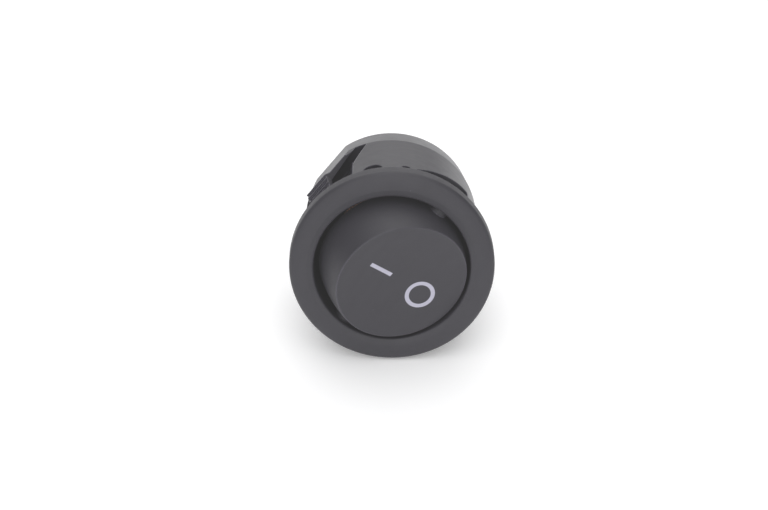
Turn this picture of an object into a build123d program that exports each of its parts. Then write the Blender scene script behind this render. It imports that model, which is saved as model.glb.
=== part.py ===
from build123d import *
import os
from math import cos, radians, sin, sqrt, tan

os.makedirs("parts", exist_ok=True)

# Round panel rocker switch, in millimetres.
# The origin is on the barrel's axis, in the plane where the bezel seats on the panel.
# The rocker faces -Y, the terminals point to +Y, +Z is the I end and X is the rocker's pivot axis.

# Barrel and bezel
barrel_diameter = 19.8
body_depth = 15.0
rear_taper_length = 3.55
rear_taper_drop = 0.55
bezel_overhang = 1.6
bezel_thickness = 1.95
bezel_rim_height = 1.65
bezel_edge_break = 0.4
mouth_wall = 1.05
mouth_lip_width = 0.7
mouth_lip_depth = 0.1
barrel_wall = 1.2
floor_thickness = 1.8
inner_wall = 1.0
overrun = 1.0

# Snap arms
arm_root_inset = 0.65
arm_root_thickness = 1.0
arm_flex_gap = 0.65
arm_nose_depth = 5.4
arm_nose_proud = 1.15
arm_nose_thickness = 1.5
arm_tip_thickness = 0.5
arm_step_count = 4
arm_step_run = 0.7
arm_step_drop = 0.24
arm_tongue_width = 3.3
arm_shoulder_run = 0.5
arm_neck_width = 5.4
arm_body_width = 6.6
arm_root_run = 0.9
arm_window_width = 8.25
arm_window_flare = 1.5
arm_window_flare_run = 4.5
arm_window_front = 0.8
core_opening_width = 5.4
core_opening_run = 4.8
core_opening_setback = 0.8
core_rib_thickness = 0.35
core_rib_height = 0.6
rear_flat_inset = 0.4
bowl_wall = 0.75

# Side windows, and notches behind the bezel
side_window_span = 45.0
side_window_front = 3.2
side_window_shallow = 0.65
side_window_deep = 4.95
arch_notch_angle = 51.5
arch_notch_width = 2.2
arch_notch_reach = 3.1
slot_notch_angle = 29.5
slot_notch_width = 1.0
slot_notch_reach = 2.6
notch_front = 1.6
notch_cut = 0.5

# Rocker
pivot_setback = 1.65
rocker_angle = 18.0
rocker_gap = 0.4
rocker_wall = 1.3
face_inset = 0.95
face_dish = 0.55
face_thickness = 1.3
face_edge_break = 0.15
skirt_depth = 2.0
stop_gap = 0.15
trunnion_diameter = 2.2
trunnion_clearance = 0.05
trunnion_end_gap = 0.15
bearing_depth = 0.65
rib_thickness = 1.0
rib_depth = 1.3

# Plunger and its spring
plunger_diameter = 2.4
plunger_clearance = 0.06
plunger_show = 3.0
plunger_hold = 2.4
stem_diameter = 1.3
stem_length = 1.5
tube_wall = 0.9
tip_gap = 0.05
spring_wire = 0.25
spring_wire_sides = 6
spring_clearance = 0.1
spring_end_gap = 0.05
spring_turns = 4

# Contact blade and contacts
blade_tilt = 7.0
blade_thickness = 0.4
blade_width = 4.8
blade_corner_round = 0.8
blade_end_gap = 0.9
blade_rest_thickness = 1.2
blade_rest_gap = 0.1
contact_radius = 1.2
contact_height = 0.5
contact_dome = 0.25
contact_edge = 0.1
contact_gap = 0.05
contact_shank_radius = 0.6

# Terminals
saddle_height = 3.4
saddle_slope = 12.0
saddle_gap = 0.02
ear_height = 1.2
ear_width = 1.0
ear_clearance = 0.1
notch_clearance = 0.4
tab_width = 4.8
tab_thickness = 0.8
tab_length = 8.0
tab_point = 1.0
tab_hole_diameter = 1.6
tab_hole_setback = 3.0
tab_shoulder = 0.5
slot_clearance = 0.05
terminal_wall_gap = 0.2
foot_margin = 0.3
bend_radius = 0.4

# Places that follow from the sizes above. A depth is a place along +Y, measured from the panel seat.
barrel_radius = barrel_diameter / 2
rear_radius = barrel_radius - rear_taper_drop
bezel_radius = barrel_radius + bezel_overhang
mouth_radius = barrel_radius - mouth_wall
chamber_radius = barrel_radius - barrel_wall
taper_depth = body_depth - rear_taper_length
floor_depth = body_depth - floor_thickness
nose_height = barrel_radius + arm_nose_proud
root_height = barrel_radius - arm_root_inset
recess_floor = root_height - arm_root_thickness - arm_flex_gap
chamber_half = recess_floor - inner_wall
pivot_depth = pivot_setback - bezel_thickness

# Rocker's own heights are measured from its pivot, out through its face.
rocker_radius = mouth_radius - rocker_gap
face_radius = rocker_radius - face_inset
face_height = sqrt(rocker_radius**2 - face_radius**2)
skirt_radius = sqrt(rocker_radius**2 - skirt_depth**2)
hollow_radius = skirt_radius - rocker_wall
hollow_top = face_height - face_dish - face_thickness
trunnion_radius = trunnion_diameter / 2
trunnion_reach = mouth_radius + bearing_depth - trunnion_end_gap
skirt_drop = skirt_depth * cos(radians(rocker_angle)) + skirt_radius * sin(radians(rocker_angle))
stop_depth = pivot_depth + skirt_drop + stop_gap
bowl_end_radius = sqrt(mouth_radius**2 - (stop_depth - pivot_depth) ** 2)

saddle_depth = floor_depth - saddle_height
saddle_width = tab_width + 2 * tab_shoulder
tab_half = tab_thickness / 2
tab_end = body_depth + tab_length
load_tab_place = chamber_half - terminal_wall_gap - tab_half
blade_half = chamber_half - blade_end_gap
contact_place = blade_half - contact_radius - contact_edge
tilt_sine = sin(radians(blade_tilt))
tilt_cosine = cos(radians(blade_tilt))
closed_place = contact_place * tilt_cosine - contact_height * tilt_sine
closed_depth = saddle_depth + contact_place * tilt_sine + contact_height * tilt_cosine
foot_depth = closed_depth + contact_gap + contact_height
foot_end = closed_place - contact_radius - foot_margin
pad_end = load_tab_place - tab_half - bend_radius

plunger_radius = plunger_diameter / 2
plunger_reach = saddle_depth - blade_thickness - pivot_depth - tip_gap
tube_reach = plunger_reach - plunger_show
tube_bore_radius = plunger_radius + plunger_clearance
plunger_top = tube_reach - plunger_hold
spring_radius = tube_bore_radius - spring_clearance - spring_wire / 2


def tilted(depth, angle):
    """Plane on the middle line at a depth, facing the front and leaning down by an angle about X."""
    lean = radians(angle)
    return Plane(origin=(0, depth, 0), x_dir=(1, 0, 0), z_dir=(0, -cos(lean), -sin(lean)))


def lengthwise(plane):
    """Plane through X on edge to the given one: its own Y runs along the given plane's normal."""
    return Plane(origin=plane.origin, x_dir=plane.x_dir, z_dir=-plane.y_dir)


def crosswise(plane):
    """Plane at right angles to X: its own X and Y are the given plane's Y and normal."""
    return Plane(origin=plane.origin, x_dir=plane.y_dir, z_dir=plane.x_dir)


rocker_plane = tilted(pivot_depth, rocker_angle)
rocker_axis = Axis(rocker_plane.origin, rocker_plane.z_dir)
blade_plane = tilted(saddle_depth, -blade_tilt)

# Snap arm on the +Z side: a flat tongue that rises from its root to a stepped nose. Its profile runs
# across X, and is trimmed to its outline from behind and from above.
tip_depth = arm_nose_depth - arm_step_count * arm_step_run
step_points = []
for step in range(arm_step_count):
    step_depth = arm_nose_depth - step * arm_step_run
    step_height = nose_height - (step + 1) * arm_step_drop
    step_points += [(step_depth, step_height), (step_depth - arm_step_run, step_height)]
tip_height = step_points[-1][1]
window_end_half = arm_window_width / 2 + arm_window_flare

with BuildPart() as arm:
    with BuildSketch(Plane.YZ):
        with BuildLine():
            Polyline(
                (taper_depth, root_height),
                (arm_nose_depth, nose_height),
                *step_points,
                (tip_depth, tip_height - arm_tip_thickness),
                (arm_nose_depth, nose_height - arm_nose_thickness),
                (taper_depth, root_height - arm_root_thickness),
                (taper_depth + overrun, root_height - arm_root_thickness),
                (taper_depth + overrun, root_height),
                close=True,
            )
        make_face()
    extrude(amount=window_end_half, both=True)
    with BuildSketch(Plane.XZ):
        Circle(barrel_radius)
        Rectangle(arm_body_width, 2 * nose_height)
    extrude(amount=-taper_depth - overrun, mode=Mode.INTERSECT)
    with BuildSketch(Plane.XY):
        with BuildLine():
            Polyline(
                (0, tip_depth),
                (arm_tongue_width / 2, tip_depth),
                (arm_tongue_width / 2, arm_nose_depth),
                (arm_neck_width / 2, arm_nose_depth + arm_shoulder_run),
                (arm_body_width / 2, taper_depth - arm_root_run),
                (window_end_half, taper_depth),
                (window_end_half, taper_depth + overrun),
                (0, taper_depth + overrun),
                close=True,
            )
        make_face()
        mirror(about=Plane.YZ)
    extrude(amount=nose_height, mode=Mode.INTERSECT)

# Recess round the arm: its outline from above, down to a floor that follows the bowl and is open to the
# chamber behind it.
core_opening_depth = taper_depth - core_opening_setback - core_opening_run / 2
with BuildPart() as arm_recess:
    with BuildSketch(Plane.XY):
        with BuildLine():
            Polyline(
                (0, arm_window_front),
                (arm_window_width / 2, arm_window_front),
                (arm_window_width / 2, taper_depth - arm_window_flare_run),
                (window_end_half, taper_depth),
                (0, taper_depth),
                close=True,
            )
        make_face()
        mirror(about=Plane.YZ)
    extrude(amount=barrel_radius + overrun)
    with BuildSketch(Plane.YZ):
        with BuildLine():
            Polyline(
                (arm_window_front, mouth_radius + bowl_wall),
                (stop_depth, bowl_end_radius + bowl_wall),
                (stop_depth + inner_wall, recess_floor),
                (taper_depth, recess_floor),
                (taper_depth, barrel_radius + overrun),
                (arm_window_front, barrel_radius + overrun),
                close=True,
            )
        make_face()
    extrude(amount=window_end_half, both=True, mode=Mode.INTERSECT)
    with BuildSketch(Plane.XY):
        with Locations((0, core_opening_depth)):
            Rectangle(core_opening_width, core_opening_run)
    extrude(amount=recess_floor)

# Rib along each side of that opening, and the flat behind the arm
with BuildPart() as core_ribs:
    with BuildSketch(Plane.XY.offset(chamber_half)):
        with Locations((0, core_opening_depth)):
            Rectangle(core_opening_width + 2 * core_rib_thickness, core_opening_run)
            Rectangle(core_opening_width, core_opening_run, mode=Mode.SUBTRACT)
    extrude(amount=inner_wall + core_rib_height)

with BuildPart() as rear_flat:
    with BuildSketch(Plane.YZ):
        with BuildLine():
            Polyline(
                (taper_depth, root_height),
                (body_depth, rear_radius - rear_flat_inset),
                (body_depth, nose_height),
                (taper_depth, nose_height),
                close=True,
            )
        make_face()
    extrude(amount=window_end_half, both=True)

# Openings of the +X side: a three-sided window through the wall, and two shallow notches behind the bezel.
window_half = barrel_radius * sin(radians(side_window_span / 2))
with BuildPart() as side_cuts:
    with BuildSketch(Plane.YZ):
        with BuildLine():
            Polyline(
                (side_window_front, -window_half),
                (side_window_front + side_window_deep, -window_half),
                (side_window_front + side_window_shallow, window_half),
                (side_window_front, window_half),
                close=True,
            )
        make_face()
    extrude(amount=barrel_radius + overrun)
    for angle, width, reach in (
        (arch_notch_angle, arch_notch_width, arch_notch_reach),
        (slot_notch_angle, slot_notch_width, slot_notch_reach),
    ):
        notch_plane = Plane.YZ.rotated((0, -angle, 0)).offset(barrel_radius - notch_cut)
        with BuildSketch(notch_plane):
            with BuildLine():
                outline = Polyline(
                    (notch_front + reach - width / 2, width / 2),
                    (notch_front, width / 2),
                    (notch_front, -width / 2),
                    (notch_front + reach - width / 2, -width / 2),
                )
                ThreePointArc(outline @ 1, (notch_front + reach, 0), outline @ 0)
            make_face()
        extrude(amount=notch_cut + overrun)

# Housing: bezel and barrel in one turned form, then the mouth, the chamber and the side features.
with BuildPart() as housing:
    with BuildSketch(Plane.XY):
        with BuildLine():
            front_line = Line((0, -bezel_thickness), (mouth_radius + mouth_lip_width, -bezel_thickness))
            TangentArc(front_line @ 1, (bezel_radius, -bezel_rim_height), tangent=front_line % 1)
            Polyline(
                (bezel_radius, -bezel_rim_height),
                (bezel_radius, 0),
                (barrel_radius, 0),
                (barrel_radius, taper_depth),
                (rear_radius, body_depth),
                (0, body_depth),
                front_line @ 0,
            )
        profile = make_face()
        chamfer(profile.vertices().group_by(Axis.X)[-1].sort_by(Axis.Y)[0], bezel_edge_break)
    revolve(axis=Axis.Y)
    with BuildSketch(Plane.XY):
        with BuildLine():
            mouth_line = Polyline(
                (bowl_end_radius, stop_depth),
                (0, stop_depth),
                (0, -bezel_thickness),
                (mouth_radius + mouth_lip_width, -bezel_thickness),
                (mouth_radius, mouth_lip_depth - bezel_thickness),
                (mouth_radius, pivot_depth),
            )
            TangentArc(mouth_line @ 1, mouth_line @ 0, tangent=mouth_line % 1)
        make_face()
    revolve(axis=Axis.Y, mode=Mode.SUBTRACT)
    with BuildSketch(Plane.XZ.offset(-pivot_depth)):
        Circle(chamber_radius)
        Rectangle(2 * chamber_radius, 2 * chamber_half, mode=Mode.INTERSECT)
    extrude(amount=pivot_depth - floor_depth, mode=Mode.SUBTRACT)
    with BuildSketch(crosswise(rocker_plane)):
        Circle(trunnion_radius + trunnion_clearance)
    extrude(amount=mouth_radius + bearing_depth, both=True, mode=Mode.SUBTRACT)
    for feature, way in (
        (arm_recess.part, Mode.SUBTRACT),
        (core_ribs.part, Mode.ADD),
        (arm.part, Mode.ADD),
        (rear_flat.part, Mode.SUBTRACT),
    ):
        add(feature, mode=way)
        add(mirror(feature, about=Plane.XY, mode=Mode.PRIVATE), mode=way)
    add(side_cuts.part, mode=Mode.SUBTRACT)
    add(side_cuts.part.rotate(Axis.Y, 180), mode=Mode.SUBTRACT)
    # Rest that stops the blade's free end, and pad that carries the load terminal's foot.
    with BuildSketch(Plane.XZ.offset(-floor_depth)):
        with Locations((0, contact_place)):
            Rectangle(blade_width, blade_rest_thickness)
    extrude(amount=floor_depth - saddle_depth - contact_place * tilt_sine - blade_rest_gap)
    with BuildSketch(Plane.XZ.offset(-floor_depth)):
        with Locations((0, -(foot_end + pad_end) / 2)):
            Rectangle(saddle_width, pad_end - foot_end)
    extrude(amount=floor_depth - foot_depth - tab_thickness)
    # Slots for the two tabs
    with BuildSketch(Plane.XZ.offset(-floor_depth)):
        with Locations((0, 0), (0, -load_tab_place)):
            Rectangle(tab_width + 2 * slot_clearance, tab_thickness + 2 * slot_clearance)
    extrude(amount=-floor_thickness, mode=Mode.SUBTRACT)
housing.part.label = "housing"
export_step(housing.part, "parts/housing.step")

# Rocker: a shell of revolution with a dished face, a spring tube, two ribs and two trunnions.
with BuildPart() as rocker:
    with BuildSketch(lengthwise(rocker_plane)):
        with BuildLine():
            face_line = TangentArc(
                (0, face_height - face_dish), (face_radius, face_height), tangent=(1, 0)
            )
            side_line = ThreePointArc(face_line @ 1, (rocker_radius, 0), (skirt_radius, -skirt_depth))
            Polyline(
                side_line @ 1,
                (hollow_radius, -skirt_depth),
                (hollow_radius, hollow_top),
                (0, hollow_top),
                face_line @ 0,
            )
        profile = make_face()
        chamfer(profile.vertices().sort_by(Axis.Y)[-1], face_edge_break)
    revolve(axis=rocker_axis)
    with BuildSketch(rocker_plane.offset(-tube_reach)):
        Circle(tube_bore_radius + tube_wall)
    extrude(amount=tube_reach + hollow_top)
    for rib_plane in (lengthwise(rocker_plane), crosswise(rocker_plane)):
        with BuildSketch(rib_plane):
            Circle(rocker_radius - rocker_wall / 2)
            with Locations((0, (hollow_top - rib_depth) / 2)):
                Rectangle(2 * rocker_radius, hollow_top + rib_depth, mode=Mode.INTERSECT)
        extrude(amount=rib_thickness / 2, both=True)
    with BuildSketch(crosswise(rocker_plane)):
        Circle(trunnion_radius)
    extrude(amount=trunnion_reach, both=True)
    with BuildSketch(rocker_plane.offset(hollow_top)):
        Circle(tube_bore_radius)
    extrude(amount=-tube_reach - hollow_top, mode=Mode.SUBTRACT)
rocker.part.label = "rocker"
export_step(rocker.part, "parts/rocker.step")

# Plunger: a round-nosed pin in the rocker's tube, with a stem that centres the spring.
with BuildPart() as plunger:
    with BuildSketch(lengthwise(rocker_plane)):
        with BuildLine():
            nose_line = CenterArc((0, plunger_radius - plunger_reach), plunger_radius, 0, -90)
            Polyline(
                nose_line @ 0,
                (plunger_radius, -plunger_top),
                (stem_diameter / 2, -plunger_top),
                (stem_diameter / 2, stem_length - plunger_top),
                (0, stem_length - plunger_top),
                nose_line @ 1,
            )
        make_face()
    revolve(axis=rocker_axis)
plunger.part.label = "plunger"
export_step(plunger.part, "parts/plunger.step")

# Plunger spring: a wire wound from the plunger's shoulder up to the back of the face, with a few flats
# for its round.
spring_foot = -plunger_top + spring_end_gap + spring_wire / 2
spring_height = hollow_top - spring_end_gap - spring_wire / 2 - spring_foot
with BuildPart() as plunger_spring:
    with BuildLine():
        coil = Helix(
            pitch=spring_height / spring_turns,
            height=spring_height,
            radius=spring_radius,
            center=rocker_plane.offset(spring_foot).origin,
            direction=rocker_plane.z_dir,
        )
    with BuildSketch(Plane(origin=coil @ 0, z_dir=coil % 0)):
        RegularPolygon(spring_wire / 2, spring_wire_sides)
    sweep(is_frenet=True)
plunger_spring.part.label = "plunger_spring"
export_step(plunger_spring.part, "parts/plunger_spring.step")


def contact_rivet(plane):
    """Domed contact: its head stands on the plane and its shank fills a hole in the sheet behind it."""
    with BuildPart() as rivet:
        with BuildSketch(lengthwise(plane)):
            with BuildLine():
                dome_line = TangentArc(
                    (0, contact_height), (contact_radius, contact_height - contact_dome), tangent=(1, 0)
                )
                Polyline(dome_line @ 1, (contact_radius, 0), (0, 0), dome_line @ 0)
            make_face()
        revolve(axis=Axis(plane.origin, plane.z_dir))
    return rivet.part


# Contact blade: rocks on the common terminal's saddle, with side notches for the ears.
moving_plane = Plane(
    origin=blade_plane.origin - blade_plane.y_dir * contact_place,
    x_dir=blade_plane.x_dir,
    z_dir=-blade_plane.z_dir,
)
with BuildPart() as contact_blade:
    with BuildSketch(blade_plane):
        RectangleRounded(blade_width, 2 * blade_half, blade_corner_round)
        with Locations((blade_width / 2, 0), (-blade_width / 2, 0)):
            Rectangle(
                blade_width - saddle_width + 2 * (ear_width + ear_clearance),
                tab_thickness + 2 * notch_clearance,
                mode=Mode.SUBTRACT,
            )
        with Locations((0, -contact_place)):
            Circle(contact_shank_radius, mode=Mode.SUBTRACT)
    extrude(amount=blade_thickness)
contact_blade.part.label = "contact_blade"
export_step(contact_blade.part, "parts/contact_blade.step")

# Moving contact, riveted through the blade
with BuildPart() as moving_contact:
    add(contact_rivet(moving_plane))
    with BuildSketch(moving_plane):
        Circle(contact_shank_radius)
    extrude(amount=-blade_thickness)
moving_contact.part.label = "moving_contact"
export_step(moving_contact.part, "parts/moving_contact.step")


def tab_outline(place):
    """Push-on tab at a place on Z, from the floor's inner face out past the rear, with its point and hole."""
    with BuildSketch(Plane.XY.offset(place)) as outline:
        with BuildLine():
            Polyline(
                (0, floor_depth),
                (tab_width / 2, floor_depth),
                (tab_width / 2, tab_end - tab_point),
                (tab_width / 2 - tab_point, tab_end),
                (0, tab_end),
                close=True,
            )
        make_face()
        mirror(about=Plane.YZ)
        with Locations((0, tab_end - tab_hole_setback)):
            Circle(tab_hole_diameter / 2, mode=Mode.SUBTRACT)
    return outline.sketch


# Common terminal: a tab whose inner end is the saddle, with a ridge between two ears.
with BuildPart() as common_terminal:
    extrude(tab_outline(0), amount=tab_half, both=True)
    with BuildSketch(Plane.YZ):
        with BuildLine():
            Polyline(
                (saddle_depth + saddle_gap, 0),
                (saddle_depth + saddle_gap + tab_half * tan(radians(saddle_slope)), tab_half),
                (floor_depth, tab_half),
                (floor_depth, 0),
                close=True,
            )
        make_face()
        mirror(about=Plane.XZ)
    extrude(amount=saddle_width / 2, both=True)
    with BuildSketch(Plane.XY):
        ear_run = floor_depth - saddle_depth + ear_height
        with Locations(
            ((saddle_width - ear_width) / 2, floor_depth - ear_run / 2),
            ((ear_width - saddle_width) / 2, floor_depth - ear_run / 2),
        ):
            Rectangle(ear_width, ear_run)
    extrude(amount=tab_half, both=True)
common_terminal.part.label = "common_terminal"
export_step(common_terminal.part, "parts/common_terminal.step")

# Load terminal: a tab whose inner end is folded to a foot under the contact.
fixed_plane = Plane(origin=(0, foot_depth, -closed_place), x_dir=(1, 0, 0), z_dir=(0, -1, 0))
with BuildPart() as load_terminal:
    extrude(tab_outline(-load_tab_place), amount=tab_half, both=True)
    with BuildSketch(Plane.YZ):
        with BuildLine():
            fold = Polyline(
                (floor_depth, -load_tab_place - tab_half),
                (foot_depth, -load_tab_place - tab_half),
                (foot_depth, -foot_end),
                (foot_depth + tab_thickness, -foot_end),
                (foot_depth + tab_thickness, tab_half - load_tab_place),
                (floor_depth, tab_half - load_tab_place),
                close=True,
            )
        folded = make_face()
        inner_corner = folded.vertices().sort_by_distance(
            (foot_depth + tab_thickness, tab_half - load_tab_place)
        )[0]
        fillet(inner_corner, bend_radius)
        outer_corner = folded.vertices().sort_by_distance((foot_depth, -load_tab_place - tab_half))[0]
        fillet(outer_corner, bend_radius + tab_thickness)
    extrude(amount=saddle_width / 2, both=True)
    with BuildSketch(fixed_plane):
        Circle(contact_shank_radius)
    extrude(amount=-tab_thickness, mode=Mode.SUBTRACT)
load_terminal.part.label = "load_terminal"
export_step(load_terminal.part, "parts/load_terminal.step")

# Fixed contact, riveted through the load terminal's foot
with BuildPart() as fixed_contact:
    add(contact_rivet(fixed_plane))
    with BuildSketch(fixed_plane):
        Circle(contact_shank_radius)
    extrude(amount=-tab_thickness)
fixed_contact.part.label = "fixed_contact"
export_step(fixed_contact.part, "parts/fixed_contact.step")
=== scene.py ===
"""Looks of a round panel rocker switch: its mouldings, metal parts, studio and camera.

Everything is in metres in the part's own frame: the origin on the barrel's axis in the plane where the
bezel seats, -Y out of the front, +Y to the terminals, +Z to the I end and X along the rocker's pivot.
"""

import logging
from dataclasses import dataclass, field
from enum import Enum

import bmesh
import bpy
import numpy as np
from mathutils import Matrix


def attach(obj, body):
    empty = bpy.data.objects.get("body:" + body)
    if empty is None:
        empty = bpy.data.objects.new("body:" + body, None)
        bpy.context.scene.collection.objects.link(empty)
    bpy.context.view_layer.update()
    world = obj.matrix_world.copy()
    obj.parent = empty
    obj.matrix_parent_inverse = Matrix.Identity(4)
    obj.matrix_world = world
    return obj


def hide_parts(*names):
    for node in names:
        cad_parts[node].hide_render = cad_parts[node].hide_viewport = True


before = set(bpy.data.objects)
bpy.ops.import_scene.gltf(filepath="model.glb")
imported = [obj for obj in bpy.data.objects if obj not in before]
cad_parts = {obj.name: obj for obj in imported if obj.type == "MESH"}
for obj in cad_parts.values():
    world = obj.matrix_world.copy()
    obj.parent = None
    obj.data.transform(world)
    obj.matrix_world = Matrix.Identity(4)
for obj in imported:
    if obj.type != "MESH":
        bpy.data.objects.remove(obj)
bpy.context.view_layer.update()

MM = 0.001
TINY = 1e-12  # Keeps a direction of no length from being divided by zero.
SAME_POINT = 1e-6  # Millimetres within which two points of an outline are one.
MERGE_DISTANCE = 0.0004  # Millimetres within which two points of a mesh are merged.
EDGE_SAMPLES = 4
LOG = logging.getLogger("switch")
Array = np.ndarray
Triple = tuple[float, float, float]
Socket = bpy.types.NodeSocket


class Cut(Enum):
    """What one solid does to another."""

    ADD = "UNION"
    REMOVE = "DIFFERENCE"
    KEEP = "INTERSECT"


@dataclass(frozen=True)
class Axes:
    """A right-handed set of directions with an origin, in millimetres.

    side, height and depth are unit vectors, and depth is the cross product of side and height.
    """

    origin: Triple
    side: Triple
    height: Triple

    @property
    def depth(self) -> Array:
        """The direction that completes the set."""
        return np.cross(self.side, self.height)

    def place(self, side: Array, height: Array, depth: Array) -> Array:
        """Turns coordinates in this set into points of the part's frame.

        Args:
            side: coordinates along the side direction.
            height: coordinates along the height direction.
            depth: coordinates along the depth direction.

        Returns:
            Points as rows of three, in millimetres: origin + side*s + height*h + depth*d.
        """
        parts = [np.asarray(c, float)[..., None] for c in (side, height, depth)]
        ways = (np.array(self.side), np.array(self.height), self.depth)
        return np.array(self.origin) + sum(c * w for c, w in zip(parts, ways))


def turned(angle: float, origin: Triple) -> Axes:
    """Axes whose height looks out of the front, leaning down by an angle about X.

    Args:
        angle: the lean in degrees, 0 for straight out along -Y.
        origin: where the axes start, in millimetres.

    Returns:
        Axes with side along +X and height along (0, -cos, -sin) of the angle.
    """
    lean = np.radians(angle)
    return Axes(origin, (1.0, 0.0, 0.0), (0.0, -float(np.cos(lean)), -float(np.sin(lean))))


def arc(centre: tuple[float, float], radius: float, start: float, stop: float, steps: int) -> Array:
    """Points on a circle: centre + radius*(cos a, sin a) with the angle a running from start to stop.

    Args:
        centre: the circle's centre.
        radius: its radius.
        start: the first angle in degrees.
        stop: the last angle in degrees.
        steps: how many points.

    Returns:
        The points as rows of two.
    """
    angle = np.radians(np.linspace(start, stop, steps))
    return np.array(centre) + radius * np.stack([np.cos(angle), np.sin(angle)], axis=1)


def arc_between(first: tuple[float, float], last: tuple[float, float], radius: float, steps: int) -> Array:
    """Points on the shorter arc of a radius between two points.

    The centre lies to the left of the way from first to last for a positive radius, at the distance
    sqrt(radius^2 - half chord^2) from the chord's middle, and the angle runs evenly between the ends.

    Args:
        first: where the arc starts.
        last: where it ends.
        radius: its radius, negative for a centre on the right.
        steps: how many points.

    Returns:
        The points as rows of two.
    """
    a, b = np.array(first, float), np.array(last, float)
    half = (b - a) / 2
    reach = np.linalg.norm(half)
    left = np.array([-half[1], half[0]]) / reach
    centre = a + half + left * np.sign(radius) * np.sqrt(radius**2 - reach**2)
    start = np.arctan2(*(a - centre)[::-1])
    sweep = np.sign(radius) * 2 * np.arcsin(reach / abs(radius))
    angle = start + sweep * np.linspace(0, 1, steps)
    return centre + abs(radius) * np.stack([np.cos(angle), np.sin(angle)], axis=1)


def rounded(corners: Array, radii: Array, steps: int = 5) -> Array:
    """A closed outline with its corners rounded, worked out for all corners at once.

    With u and w the unit directions from a corner to its neighbours and h half the angle between them,
    the round starts radius/tan(h) along each side, and its centre lies radius/sin(h) along the bisector.
    Its points slide from the one tangent point to the other on the circle about that centre.

    Args:
        corners: the outline's corners in order, as rows of two.
        radii: one radius for each corner, 0 where it stays sharp.
        steps: points on each round.

    Returns:
        The outline's points as rows of two, with no point twice in a row.
    """
    corners, radii = np.asarray(corners, float), np.asarray(radii, float)[:, None]
    back, ahead = np.roll(corners, 1, 0) - corners, np.roll(corners, -1, 0) - corners
    u = back / np.linalg.norm(back, axis=1, keepdims=True)
    w = ahead / np.linalg.norm(ahead, axis=1, keepdims=True)
    half = np.arccos(np.clip((u * w).sum(1, keepdims=True), -1, 1)) / 2
    bisector = (u + w) / np.maximum(np.linalg.norm(u + w, axis=1, keepdims=True), TINY)
    centre = corners + bisector * radii / np.sin(half)
    start, end = corners + u * radii / np.tan(half), corners + w * radii / np.tan(half)
    share = np.linspace(0, 1, steps)[None, :, None]
    mid = (1 - share) * (start - centre)[:, None] + share * (end - centre)[:, None]
    length = np.maximum(np.linalg.norm(mid, axis=2, keepdims=True), TINY)
    points = (centre[:, None] + mid / length * radii[:, None]).reshape(-1, 2)
    apart = np.linalg.norm(points - np.roll(points, 1, 0), axis=1) > SAME_POINT
    return points[apart]


def mirrored(right: Array, rounds: tuple[float, ...], steps: int) -> Array:
    """A closed outline from its right-hand side and that side's mirror image.

    Args:
        right: the corners on the right, as rows of two.
        rounds: the radius of each of them.
        steps: points on each round.

    Returns:
        The rounded outline's points as rows of two.
    """
    corners = np.vstack([right, (right * (-1, 1))[::-1]])
    return rounded(corners, np.concatenate([rounds, rounds[::-1]]), steps)


def placed(name: str, data: bpy.types.ID) -> bpy.types.Object:
    """A new object in the scene, at the origin, that shows a mesh or is a camera."""
    piece = bpy.data.objects.new(name, data)
    bpy.context.scene.collection.objects.link(piece)
    return piece


def make_object(name: str, points: Array, faces: list[tuple[int, ...]]) -> bpy.types.Object:
    """A mesh object at the origin from points in millimetres, with its faces turned outwards.

    Args:
        name: the object's name.
        points: rows of three, in millimetres.
        faces: the corner numbers of each face.

    Returns:
        The object, linked to the scene.
    """
    mesh = bpy.data.meshes.new(name)
    mesh.from_pydata((np.asarray(points) * MM).tolist(), [], faces)
    work = bmesh.new()
    work.from_mesh(mesh)
    bmesh.ops.recalc_face_normals(work, faces=work.faces)
    work.to_mesh(mesh)
    work.free()
    return placed(name, mesh)


def lathe(name: str, profile: Array, axes: Axes, segments: int = 256) -> bpy.types.Object:
    """A solid of revolution about the height direction of a set of axes.

    The point at turn a and profile row (r, h) is origin + r*(cos a * side + sin a * depth) + h * height.
    The profile's ends lie on the axis, and the solid closes in a pole at each.

    Args:
        name: the object's name.
        profile: rows of radius and height, in millimetres.
        axes: where the solid stands.
        segments: how many steps go round.

    Returns:
        The closed mesh object.
    """
    rings = np.asarray(profile, float)[1:-1]
    turn = np.linspace(0, 2 * np.pi, segments, endpoint=False)
    radius, height = rings[:, :1], np.repeat(rings[:, 1:], segments, axis=1)
    points = axes.place(radius * np.cos(turn), height, radius * np.sin(turn)).reshape(-1, 3)
    row, col = np.meshgrid(np.arange(len(rings) - 1), np.arange(segments), indexing="ij")
    first, over = row * segments, (col + 1) % segments
    second = first + segments
    quads = np.stack([first + col, first + over, second + over, second + col])
    faces = [tuple(q) for q in quads.reshape(4, -1).T.tolist()]
    top, bottom, last = len(points), len(points) + 1, len(points) - segments
    here = np.arange(segments)
    there = (here + 1) % segments
    faces += [(top, a, b) for a, b in zip(there.tolist(), here.tolist())]
    faces += [(bottom, a, b) for a, b in zip((last + here).tolist(), (last + there).tolist())]
    poles = axes.place(np.zeros(2), [profile[0][1], profile[-1][1]], np.zeros(2))
    return make_object(name, np.vstack([points, poles]), faces)


def prism(name: str, outline: Array, axes: Axes, low: float, high: float) -> bpy.types.Object:
    """A straight solid whose section is a closed outline in the side and height directions.

    Args:
        name: the object's name.
        outline: rows of side and height, in millimetres.
        axes: where the outline lies.
        low: where the solid starts along the depth direction, in millimetres.
        high: where it ends.

    Returns:
        The closed mesh object.
    """
    outline = np.asarray(outline, float)
    count = len(outline)
    ends = [axes.place(outline[:, 0], outline[:, 1], np.full(count, d)) for d in (low, high)]
    here = np.arange(count)
    there = (here + 1) % count
    faces = [tuple(f) for f in np.stack([here, there, there + count, here + count], 1).tolist()]
    faces += [tuple(here.tolist()), tuple((here + count).tolist())]
    return make_object(name, np.vstack(ends), faces)


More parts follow.
